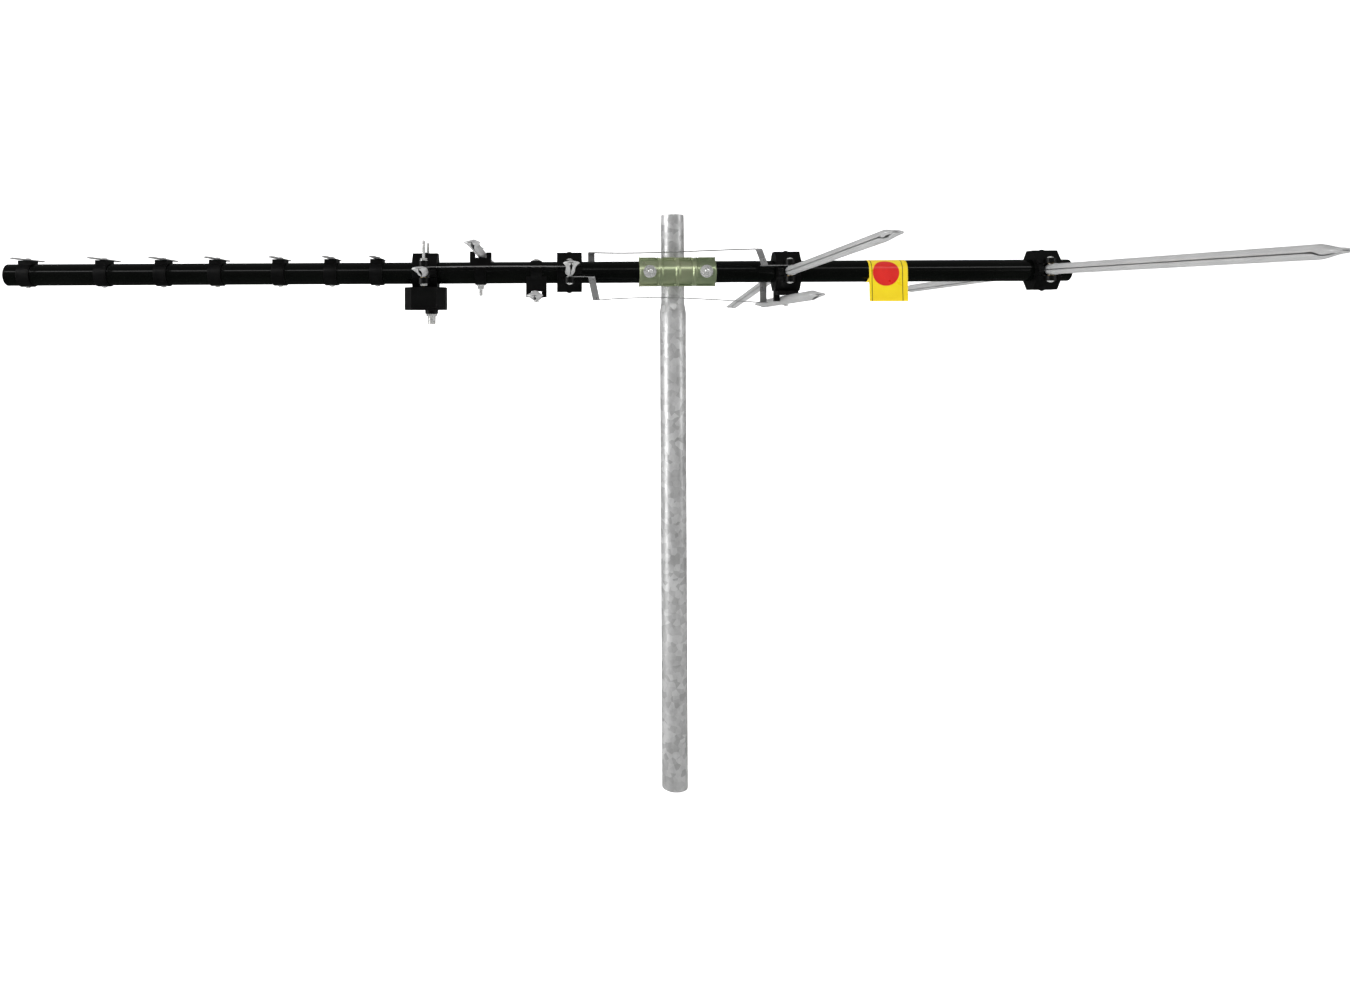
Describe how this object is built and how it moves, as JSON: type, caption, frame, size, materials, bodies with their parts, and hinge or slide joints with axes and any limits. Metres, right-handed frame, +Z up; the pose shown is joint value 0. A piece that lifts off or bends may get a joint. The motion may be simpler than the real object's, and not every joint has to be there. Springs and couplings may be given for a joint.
{
  "type": "yagi antenna",
  "caption": "Long boom television yagi with strap directors, folding tube elements, under-slung balun and a clamp, on a straight mast.",
  "frame": {"origin": "centre of the mast's lower end", "axes": "+Z up the mast, +X along the boom towards the reflector, -Y the side that the clamp nuts face"},
  "size_m": [1.25, 0.8398, 0.696],
  "materials": {
    "galvanised": "spangled zinc, satin",
    "boom_black": "gloss black coating",
    "black_moulding": "moulded, satin",
    "zinc_yellow": "yellow chromate, glossy",
    "bright_steel": "bright zinc",
    "brass": "plain",
    "board_green": "lacquered board",
    "ferrite": "sintered",
    "white_insulator": "smooth",
    "element_aluminium": "mill, satin",
    "strap_aluminium": "mill, bright",
    "tag_film": "printed film"
  },
  "bodies": {
    "mast": {"mast_tube": "galvanised"},
    "boom": {"boom_tube": "boom_black", "boom_plugs": "black_moulding", "clamp_saddle": "zinc_yellow", "clamp_cradle": "zinc_yellow", "clamp_rear_jaw": "zinc_yellow", "clamp_bolts": "bright_steel", "clamp_nuts": "bright_steel", "director_clips": "black_moulding", "director_rivets": "bright_steel", "feed_block_upper": "black_moulding", "uhf_block_upper": "black_moulding", "uhf_block_lower": "black_moulding", "vhf_block_upper": "black_moulding", "vhf_block_lower": "black_moulding", "reflector_block_upper": "black_moulding", "reflector_block_lower": "black_moulding", "block_screws": "bright_steel", "pivot_rivets": "bright_steel", "pivot_washers": "brass", "terminal_studs": "bright_steel", "terminal_nuts": "bright_steel", "balun_housing": "black_moulding", "balun_cover": "black_moulding", "balun_board": "board_green", "balun_core": "ferrite", "balun_leads": "brass", "coax_connector": "bright_steel", "connector_nut": "bright_steel", "connector_insulator": "white_insulator", "connector_contact": "brass", "upper_insulator": "black_moulding", "lower_insulator": "black_moulding", "rear_insulator": "black_moulding", "element_bolts": "bright_steel", "element_nuts": "bright_steel", "phase_front_near": "strap_aluminium", "phase_front_far": "strap_aluminium", "phase_over": "strap_aluminium", "phase_under": "strap_aluminium", "tag": "tag_film"},
    "director_1": {"director_1": "element_aluminium"},
    "director_2": {"director_2": "element_aluminium"},
    "director_3": {"director_3": "element_aluminium"},
    "director_4": {"director_4": "element_aluminium"},
    "director_5": {"director_5": "element_aluminium"},
    "director_6": {"director_6": "element_aluminium"},
    "director_7": {"director_7": "element_aluminium"},
    "feed_half_near": {"feed_half_near": "element_aluminium"},
    "feed_half_far": {"feed_half_far": "element_aluminium"},
    "uhf_half_near": {"uhf_half_near": "element_aluminium"},
    "uhf_half_far": {"uhf_half_far": "element_aluminium"},
    "vhf_half_near": {"vhf_half_near": "element_aluminium"},
    "vhf_half_far": {"vhf_half_far": "element_aluminium"},
    "reflector_half_near": {"reflector_half_near": "element_aluminium"},
    "reflector_half_far": {"reflector_half_far": "element_aluminium"},
    "upper_element": {"upper_element": "element_aluminium"},
    "lower_element": {"lower_element": "element_aluminium"},
    "rear_element": {"rear_element": "element_aluminium"}
  },
  "joints": [
    {"name": "azimuth", "type": "hinge", "parent": "mast", "child": "boom", "pos_m": [0, 0, 0.625], "axis": [0, 0, 1], "continuous": true},
    {"name": "director_1_swing", "type": "hinge", "parent": "boom", "child": "director_1", "pos_m": [-0.7655, -0.036, 0.6425], "axis": [0, 0, 1], "range_deg": [0, 75]},
    {"name": "director_2_swing", "type": "hinge", "parent": "boom", "child": "director_2", "pos_m": [-0.6752, -0.036, 0.6425], "axis": [0, 0, 1], "range_deg": [0, 75]},
    {"name": "director_3_swing", "type": "hinge", "parent": "boom", "child": "director_3", "pos_m": [-0.6053, -0.036, 0.6425], "axis": [0, 0, 1], "range_deg": [0, 75]},
    {"name": "director_4_swing", "type": "hinge", "parent": "boom", "child": "director_4", "pos_m": [-0.5417, -0.036, 0.6425], "axis": [0, 0, 1], "range_deg": [0, 75]},
    {"name": "director_5_swing", "type": "hinge", "parent": "boom", "child": "director_5", "pos_m": [-0.4676, -0.036, 0.6425], "axis": [0, 0, 1], "range_deg": [0, 75]},
    {"name": "director_6_swing", "type": "hinge", "parent": "boom", "child": "director_6", "pos_m": [-0.4066, -0.036, 0.6425], "axis": [0, 0, 1], "range_deg": [0, 75]},
    {"name": "director_7_swing", "type": "hinge", "parent": "boom", "child": "director_7", "pos_m": [-0.3528, -0.036, 0.6425], "axis": [0, 0, 1], "range_deg": [0, 75]},
    {"name": "feed_near_fold", "type": "hinge", "parent": "boom", "child": "feed_half_near", "pos_m": [-0.2958, -0.0555, 0.625], "axis": [0, 0, -1], "range_deg": [0, 80]},
    {"name": "feed_far_fold", "type": "hinge", "parent": "boom", "child": "feed_half_far", "pos_m": [-0.2958, -0.0165, 0.625], "axis": [0, 0, 1], "range_deg": [0, 80]},
    {"name": "uhf_near_fold", "type": "hinge", "parent": "boom", "child": "uhf_half_near", "pos_m": [-0.1266, -0.0555, 0.625], "axis": [0, 0, -1], "range_deg": [0, 75]},
    {"name": "uhf_far_fold", "type": "hinge", "parent": "boom", "child": "uhf_half_far", "pos_m": [-0.1266, -0.0165, 0.625], "axis": [0, 0, 1], "range_deg": [0, 75]},
    {"name": "vhf_near_fold", "type": "hinge", "parent": "boom", "child": "vhf_half_near", "pos_m": [0.1287, -0.0555, 0.625], "axis": [0, 0, 1], "range_deg": [0, 55]},
    {"name": "vhf_far_fold", "type": "hinge", "parent": "boom", "child": "vhf_half_far", "pos_m": [0.1287, -0.0165, 0.625], "axis": [0, 0, -1], "range_deg": [0, 55]},
    {"name": "reflector_near_fold", "type": "hinge", "parent": "boom", "child": "reflector_half_near", "pos_m": [0.4309, -0.0555, 0.625], "axis": [0, 0, 1], "range_deg": [0, 80]},
    {"name": "reflector_far_fold", "type": "hinge", "parent": "boom", "child": "reflector_half_far", "pos_m": [0.4309, -0.0165, 0.625], "axis": [0, 0, -1], "range_deg": [0, 80]},
    {"name": "upper_swing", "type": "hinge", "parent": "boom", "child": "upper_element", "pos_m": [-0.231, -0.036, 0.648], "axis": [0, 0, 1], "range_deg": [0, 60]},
    {"name": "lower_swing", "type": "hinge", "parent": "boom", "child": "lower_element", "pos_m": [-0.1655, -0.036, 0.5975], "axis": [0, 0, 1], "range_deg": [0, 60]},
    {"name": "rear_swing", "type": "hinge", "parent": "boom", "child": "rear_element", "pos_m": [0.1287, -0.036, 0.5915], "axis": [0, 0, -1], "range_deg": [0, 60]}
  ]
}
